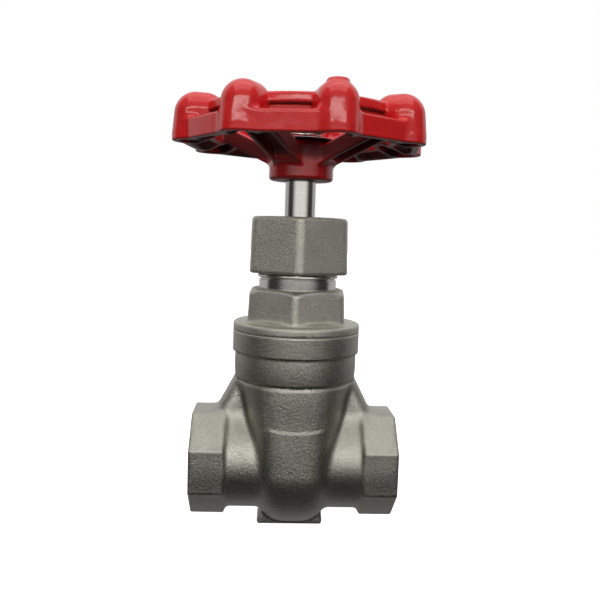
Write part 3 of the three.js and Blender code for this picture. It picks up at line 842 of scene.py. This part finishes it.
def bright_steel(name, dark, light, rough_low, rough_high, ring_scale, relief):
    """Machined stainless with fine rings around Z."""
    p = Paint(name)
    rings = p.noise(ring_scale, 2, 0.5, stretch=(0.02, 0.02, 1.0))
    streak = p.noise(STREAKS, 3, 0.6)
    warm_dark = (dark, dark * 0.98, dark * 0.92)
    warm_light = (light, light * 0.98, light * 0.93)
    p.to(p.mix(streak, warm_dark, warm_light), "Base Color")
    p.to(p.ramp(rings, (0.3, rough_low), (0.7, rough_high)), "Roughness")
    p.fixed(Metallic=1.0)
    p.to(p.bump(rings, 0.25, relief), "Normal")
    return p.material


def red_paint():
    """Glossy enamel with painted shade: dark brown and rougher on undersides and in the wheel's hollows."""
    p = Paint("red_paint")
    radius, height = p.place()

    def past(place, fade):
        """0 before the fade and 1 after it."""
        return p.smooth(place, fade[0] * MM, fade[1] * MM)

    def before(place, fade):
        """1 before the fade and 0 after it."""
        return p.smooth(place, fade[0] * MM, fade[1] * MM, 1.0, 0.0)

    # Painted shade: masks for the hollow between hoop and skirt and for the low spokes' sides and undersides,
    # where the wheel lies in shade.
    rim_hollow_shade = p.product(past(radius, HOOP_FADE), before(radius, SKIRT_FADE), before(height, RIM_FADE))
    low_spoke_shade = p.product(
        p.facing(0.1, 0.5, 0.85, 0.0), before(radius, SPOKE_END_FADE),
        past(height, SPOKE_FOOT_FADE), before(height, SPOKE_TOP_FADE))
    hollows = p.math("MAXIMUM", rim_hollow_shade, low_spoke_shade)
    # Painted shade: faces that point down are darkened as well, and every shaded place gets the dark red
    # below.
    painted_shade = p.math("MAXIMUM", p.facing(-0.8, 0.0, 0.72, 0.0), hollows)
    red = p.ramp(p.noise(ENAMEL_CLOUDS, 2), (0.3, (0.68, 0.012, 0.013)), (0.7, (0.76, 0.016, 0.017)))
    p.to(p.mix(painted_shade, red, PAINTED_SHADE_RED), "Base Color")
    peel = p.noise(ORANGE_PEEL, 2, 0.45)
    p.to(p.mix(painted_shade, p.ramp(peel, (0.3, 0.09), (0.7, 0.17)), DULL_ROUGH), "Roughness")
    p.fixed(Metallic=0.0, IOR=1.52)
    waves = p.bump(p.noise(ENAMEL_WAVES, 2, 0.5), 0.35, 0.0006)
    p.to(p.bump(peel, 0.15, 0.00012, waves), "Normal")
    return p.material


def seal_plastic():
    """Off-white sealing plastic."""
    p = Paint("seal_plastic")
    cloud = p.noise(PLASTIC_CLOUDS, 3)
    p.to(p.ramp(cloud, (0.3, (0.74, 0.72, 0.67)), (0.7, (0.84, 0.83, 0.79))), "Base Color")
    p.to(p.ramp(cloud, (0.3, 0.45), (0.7, 0.65)), "Roughness")
    p.to(p.bump(p.noise(BRUSHING, 3), 0.3, 0.00005), "Normal")
    return p.material


def plate_aluminium():
    """Brushed aluminium, with shade painted dark on its edge and underside."""
    p = Paint("plate_aluminium")
    brushed = p.noise(BRUSHING, 2, 0.5, stretch=(0.05, 1.0, 1.0))
    bare = p.ramp(brushed, (0.3, (0.55, 0.56, 0.57)), (0.7, (0.70, 0.71, 0.72)))
    # Painted shade: the plate's edge and underside are darkened where they lie in shadow.
    p.to(p.mix(p.facing(0.1, 0.5, 0.95, 0.0), bare, PAINTED_PLATE_SHADE), "Base Color")
    p.to(p.ramp(brushed, (0.3, 0.28), (0.7, 0.42)), "Roughness")
    p.fixed(Metallic=1.0)
    p.to(p.bump(brushed, 0.3, 0.00003), "Normal")
    return p.material


CAST = cast_steel("cast_steel", 1.25, 0.40, 0.56)
CAST_BODY = cast_steel("cast_body", 0.96, 0.28, 0.40)
RED = red_paint()
TURNED = bright_steel("turned_steel", 0.58, 0.72, 0.13, 0.24, 5200, 0.00002)
POLISHED = bright_steel("polished_steel", 0.45, 0.55, 0.10, 0.18, 3800, 0.000006)
PLASTIC = seal_plastic()
PLATE = plate_aluminium()


def finish_piece(piece, body, node, material):
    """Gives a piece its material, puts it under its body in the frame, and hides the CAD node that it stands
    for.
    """
    piece.data.materials.append(material)
    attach(piece, body)
    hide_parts(node)
    return piece


# ---------------------------------------------------------------- castings

# Cell sizes, and the margin that a field's box has around its CAD node.
BODY_CELL = 0.42
BONNET_CELL = 0.4
FINE_CELL = 0.36
SMALL_CELL = 0.16
MARGIN = np.array([1.0, 1.0, 1.0])
SMALL_MARGIN = 0.5
BONNET_REACH = 18.5

finish_piece(
    carved("body_casting", body_field, BODY_LOW - MARGIN, BODY_HIGH + MARGIN, BODY_CELL),
    "housing", "valve_body", CAST_BODY)
bonnet_low = np.array([-BONNET_REACH, -BONNET_REACH, BONNET_LOW[2] - 1])
bonnet_high = np.array([BONNET_REACH, BONNET_REACH, BONNET_HEX_TOP + 1])
finish_piece(
    carved("bonnet_casting", bonnet_field, bonnet_low, bonnet_high, BONNET_CELL),
    "housing", "bonnet", CAST)
finish_piece(
    carved("gland_nut_casting", nut_field, NUT_LOW - MARGIN, NUT_HIGH + MARGIN, FINE_CELL),
    "nut", "gland_nut", CAST)
finish_piece(
    carved("handwheel_casting", wheel_field, WHEEL_LOW - MARGIN, WHEEL_HIGH + MARGIN, FINE_CELL),
    "spindle", "handwheel", RED)
wedge_low = np.array([-9, -WEDGE_RADIUS - 1, -WEDGE_RADIUS - 1.0])
wedge_high = np.array([9, WEDGE_RADIUS + 1, WEDGE_TOP + 1])
finish_piece(
    carved("wedge_casting", wedge_field, wedge_low, wedge_high, FINE_CELL),
    "wedge", "wedge_disc", TURNED)

# ---------------------------------------------------------------- turned neck and stem

NECK_GROOVE = 10.05
NECK_THREAD = 10.9
NECK_THREAD_DEPTH = 0.75
PACKING_BORE = PACKING_ROOM[0]
neck_profile = [
    (10.3, 46.9), (10.5, 47.1), (10.5, 49.95), (10.42, 50.05), (NECK_GROOVE, 50.15), (NECK_GROOVE, 50.35),
    (10.5, 50.5), (10.85, 50.75), (NECK_THREAD, 50.85), (NECK_THREAD, 51.15),
    (NECK_THREAD, NECK_TOP - 0.8), (10.2, NECK_TOP),
]
neck = threaded_rod(
    "bonnet_neck", neck_profile, 51.1, NECK_TOP - 0.2, NECK_PITCH, NECK_THREAD_DEPTH,
    bore=PACKING_BORE, segments=128)
finish_piece(neck, "housing", "bonnet", TURNED)

STEM_THREAD = 4.0
STEM_THREAD_TOP = 38.0
STEM_THREAD_DEPTH = 0.7
STEM_PITCH = 2.5
STEM_RADIUS = 4.1
COLLAR_RADIUS = 7.0
STUD_RADIUS = 2.95
SQUARE_SIDE = 2.85
SQUARE_MIDDLE = 82
stem_low, stem_high = STEM_LOW[2], STEM_HIGH[2]
stem_profile = [
    (3.2, stem_low), (STEM_THREAD, stem_low + 0.7), (STEM_THREAD, STEM_THREAD_TOP), (STEM_THREAD, 38.28),
    (6.8, 38.3), (COLLAR_RADIUS, 38.5), (COLLAR_RADIUS, 41.1), (6.8, 41.3),
    (STEM_RADIUS, 41.32), (STEM_RADIUS, 77.7), (3.9, 78.0),
    (SQUARE_SIDE, 78.02), (SQUARE_SIDE, 86.0), (STUD_RADIUS, 86.1),
    (STUD_RADIUS, stem_high - 0.5), (2.5, stem_high),
]
stem = threaded_rod(
    "stem_rod", stem_profile, stem_low + 0.4, STEM_THREAD_TOP, STEM_PITCH, STEM_THREAD_DEPTH)
finish_piece(stem, "spindle", "stem", POLISHED)


def square_field(x, y, z):
    return block(x, y, z, (0, 0, SQUARE_MIDDLE), (SQUARE_SIDE, SQUARE_SIDE, 4.1), 0.35)


square = carved("stem_square", square_field, np.array([-4, -4, 77.0]), np.array([4, 4, 87.0]), 0.3)
finish_piece(square, "spindle", "stem", POLISHED)

# ---------------------------------------------------------------- washers, seals and the gland follower

GASKET_BORE = 14.3
FOLLOWER_SLEEVE = 7.3
FOLLOWER_FLANGE = 61.8


def washer(name, node, material, bevel, inner):
    """A flat ring of its CAD node's outside and height, fixed to the housing."""
    low, high = span(node)
    outer = high[0]
    profile = [(inner, low[2]), (outer, low[2]), (outer, high[2]), (inner, high[2])]
    return finish_piece(lathe(name, profile, 96, bevel), "housing", node, material)


washer("gasket_ring", "bonnet_gasket", PLASTIC, 0.1, GASKET_BORE)
washer("retaining_ring", "stem_retaining_ring", TURNED, 0.25, SHAFT_BORE)
washer("thrust_ring_low", "lower_thrust_washer", PLASTIC, 0.1, SHAFT_BORE)
washer("thrust_ring_high", "upper_thrust_washer", PLASTIC, 0.1, SHAFT_BORE)
washer("packing_base", "packing_base_washer", TURNED, 0.12, SHAFT_BORE)
for number in range(1, 5):
    seal = washer(
        f"packing_seal_{number}", f"packing_ring_{number}", PLASTIC, 0.35, SHAFT_BORE)
    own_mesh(seal)

follower_low, follower_high = span("gland_follower")
follower_profile = [
    (SHAFT_BORE, follower_low[2]), (FOLLOWER_SLEEVE, follower_low[2]), (FOLLOWER_SLEEVE, FOLLOWER_FLANGE),
    (follower_high[0], FOLLOWER_FLANGE), (follower_high[0], follower_high[2]), (SHAFT_BORE, follower_high[2]),
]
finish_piece(
    lathe("follower_bush", follower_profile, 96, 0.25), "gland", "gland_follower", TURNED)

# ---------------------------------------------------------------- plate, spring washer and nut on the wheel

PLATE_BORE = 3.15
PLATE_RADIUS = 10.4
PLATE_RECESS = 0.12
SPRING_RADIUS = 4.275
SPRING_HALF = 1.1
SPRING_GAP = 0.3
STUD_NUT_HALF = 5.0
STUD_NUT_CONE = 4.9
STUD_NUT_CREST = 3.05
STUD_NUT_GROOVE = 0.25
STUD_PITCH = 1.0

plate_low, plate_high = PLATE_LOW[2], PLATE_HIGH[2]
plate_profile = [
    (PLATE_BORE, plate_low), (PLATE_RADIUS, plate_low), (PLATE_RADIUS, plate_high - 0.05), (9.9, plate_high),
    (9.3, plate_high - PLATE_RECESS), (6.3, plate_high - PLATE_RECESS), (5.9, plate_high),
    (PLATE_BORE, plate_high),
]
finish_piece(
    lathe("wheel_plate_disc", plate_profile, 128, 0.08), "spindle", "wheel_plate", PLATE)

spring_low, spring_high = span("spring_washer")


def spring_field(x, y, z):
    """A flat ring with a slanted cut through it."""
    middle, half = (spring_low[2] + spring_high[2]) / 2, (spring_high[2] - spring_low[2]) / 2
    ring = edge_round(np.abs(np.hypot(x, y) - SPRING_RADIUS) - SPRING_HALF, np.abs(z - middle) - half, 0.2)
    gap = np.maximum(np.abs(y - 0.5 * (z - middle)) - SPRING_GAP, -x)
    return cut(ring, gap, 0.1)


spring = carved(
    "spring_ring", spring_field, spring_low - SMALL_MARGIN, spring_high + SMALL_MARGIN, SMALL_CELL)
finish_piece(spring, "spindle", "spring_washer", POLISHED)

stud_nut_low, stud_nut_high = span("wheel_nut")


def stud_nut_field(x, y, z):
    """A hexagon nut, coned at both ends, with its thread."""
    radial = np.hypot(x, y)
    middle, half = (stud_nut_low[2] + stud_nut_high[2]) / 2, (stud_nut_high[2] - stud_nut_low[2]) / 2
    to_end = np.abs(z - middle) - half
    flat = edge_round(polygon(x, y, 6, STUD_NUT_HALF, 0.15), to_end, 0.1)
    lids = (to_end + (radial - STUD_NUT_CONE) * 0.55) / 1.14
    groove = thread_height(np.arctan2(y, x), z, STUD_PITCH)
    bore = np.minimum(radial - (STUD_NUT_CREST + STUD_NUT_GROOVE * (1 - groove)), radial - (3.6 + to_end))
    return cut(both(flat, lids, 0.1), bore, 0.1)


stud_nut = carved(
    "hub_nut", stud_nut_field, stud_nut_low - SMALL_MARGIN, stud_nut_high + SMALL_MARGIN, SMALL_CELL)
finish_piece(stud_nut, "spindle", "wheel_nut", POLISHED)

# ---------------------------------------------------------------- light, floor and camera

scene = bpy.context.scene
scene.view_settings.view_transform = "Standard"


class Room:
    """World light that depends on direction: each glow is a smooth function of the direction's y or z."""

    def __init__(self):
        world = bpy.data.worlds.new("studio")
        scene.world = world
        world.use_nodes = True
        self.tree = world.node_tree
        self.tree.nodes.clear()
        split = self.tree.nodes.new("ShaderNodeSeparateXYZ")
        coords = self.tree.nodes.new("ShaderNodeTexCoord")
        self.tree.links.new(coords.outputs["Generated"], split.inputs[0])
        self.y = split.outputs["Y"]
        self.z = split.outputs["Z"]

    def spread(self, socket, low, high, bottom, top):
        """The socket's value taken smoothly from one range to another."""
        made = self.tree.nodes.new("ShaderNodeMapRange")
        made.interpolation_type = "SMOOTHSTEP"
        for name, value in zip(("From Min", "From Max", "To Min", "To Max"), (low, high, bottom, top)):
            made.inputs[name].default_value = value
        self.tree.links.new(socket, made.inputs["Value"])
        return made.outputs[0]

    def combine(self, kind, first, *others):
        """The sum or the product of several values."""
        total = first
        for other in others:
            made = self.tree.nodes.new("ShaderNodeMath")
            made.operation = kind
            self.tree.links.new(total, made.inputs[0])
            self.tree.links.new(other, made.inputs[1])
            total = made.outputs[0]
        return total

    def show(self, glow):
        """Lights the object with the glow and shows plain white to the camera."""
        new = self.tree.nodes.new
        link = self.tree.links.new
        white = new("ShaderNodeBackground")
        white.inputs["Color"].default_value = (1, 1, 1, 1)
        lit = new("ShaderNodeBackground")
        link(glow, lit.inputs["Color"])
        mix = new("ShaderNodeMixShader")
        link(new("ShaderNodeLightPath").outputs["Is Camera Ray"], mix.inputs[0])
        link(lit.outputs[0], mix.inputs[1])
        link(white.outputs[0], mix.inputs[2])
        link(mix.outputs[0], new("ShaderNodeOutputWorld").inputs["Surface"])


def light_room():
    room = Room()
    backdrop = room.combine(
        "MULTIPLY", room.spread(room.y, 0.05, 0.35, 0.0, 0.56), room.spread(room.z, -0.35, 0.05, 0.3, 1.0))
    floor_glow = room.combine(
        "MULTIPLY", room.spread(room.y, -0.2, 0.2, 0.4, 1.0), room.spread(room.z, -0.9, -0.5, 0.1, 0.0))
    ceiling = room.spread(room.z, -0.25, 1.0, 0.02, 0.36)
    # A low band in front of the object, brightest just above eye level.
    front = room.combine(
        "MULTIPLY", room.spread(room.y, -0.92, -0.38, 1.35, 0.0),
        room.spread(room.z, -0.10, 0.02, 0.0, 1.0), room.spread(room.z, 0.06, 0.17, 1.0, 0.35))
    room.show(room.combine("ADD", front, floor_glow, backdrop, ceiling))


def softbox(name, place, target, width, height, power, colour=(1, 0.985, 0.96)):
    """A rectangular light aimed at a point, with sizes in metres and power in watts."""
    data = bpy.data.lights.new(name, "AREA")
    data.shape = "RECTANGLE"
    data.size = width
    data.size_y = height
    data.energy = power
    data.color = colour
    lamp = bpy.data.objects.new(name, data)
    scene.collection.objects.link(lamp)
    lamp.location = place
    lamp.rotation_mode = "QUATERNION"
    lamp.rotation_quaternion = (Vector(target) - Vector(place)).to_track_quat("-Z", "Y")


AIM = (0, 0, 0.05)
light_room()
softbox("top", (0.0, -0.12, 0.8), AIM, 0.9, 0.7, 2.3)
softbox("strip", (-0.04, -0.8, 0.42), AIM, 1.4, 0.11, 2.3)

FLOOR_HALF = 3


def lay_floor():
    """White paper that the object's reflections and bounced light leave out."""
    mesh = bpy.data.meshes.new("floor")
    corners = [(x * FLOOR_HALF, y * FLOOR_HALF, 0) for x, y in ((-1, -1), (1, -1), (1, 1), (-1, 1))]
    mesh.from_pydata(corners, [], [(0, 1, 2, 3)])
    floor = bpy.data.objects.new("floor", mesh)
    scene.collection.objects.link(floor)
    paper = bpy.data.materials.new("paper")
    paper.use_nodes = True
    shader = paper.node_tree.nodes["Principled BSDF"]
    shader.inputs["Base Color"].default_value = (0.9, 0.9, 0.9, 1)
    shader.inputs["Roughness"].default_value = 0.9
    shader.inputs["Emission Color"].default_value = (1, 1, 1, 1)
    shader.inputs["Emission Strength"].default_value = 0.92
    mesh.materials.append(paper)
    floor.visible_glossy = False
    floor.visible_diffuse = False


lay_floor()

# The camera's place in millimetres from the pipe's axis, and its angles.
CAMERA_PLACE = (-7.904, -185.415, 62.332)
LENS = 40.84
SHIFT = (-0.0022, -0.0007)
PITCH = math.radians(5.499)
ROLL = math.radians(1.873)
HEADING = math.radians(2.80)


def place_camera():
    data = bpy.data.cameras.new("camera")
    data.sensor_width = 36
    data.lens = LENS
    data.shift_x, data.shift_y = SHIFT
    data.clip_start = 0.01
    data.clip_end = 20
    camera = bpy.data.objects.new("camera", data)
    scene.collection.objects.link(camera)
    place = Vector((CAMERA_PLACE[0], CAMERA_PLACE[1], CAMERA_PLACE[2] + PIPE)) * MM
    ahead = math.cos(PITCH)
    forward = Vector((math.sin(HEADING) * ahead, math.cos(HEADING) * ahead, -math.sin(PITCH)))
    level = forward.cross(Vector((0, 0, 1))).normalized()
    upright = level.cross(forward)
    right = level * math.cos(ROLL) + upright * math.sin(ROLL)
    up = upright * math.cos(ROLL) - level * math.sin(ROLL)
    turn = Matrix((right, up, -forward)).transposed().to_4x4()
    camera.matrix_world = Matrix.Translation(place) @ turn
    scene.camera = camera


place_camera()
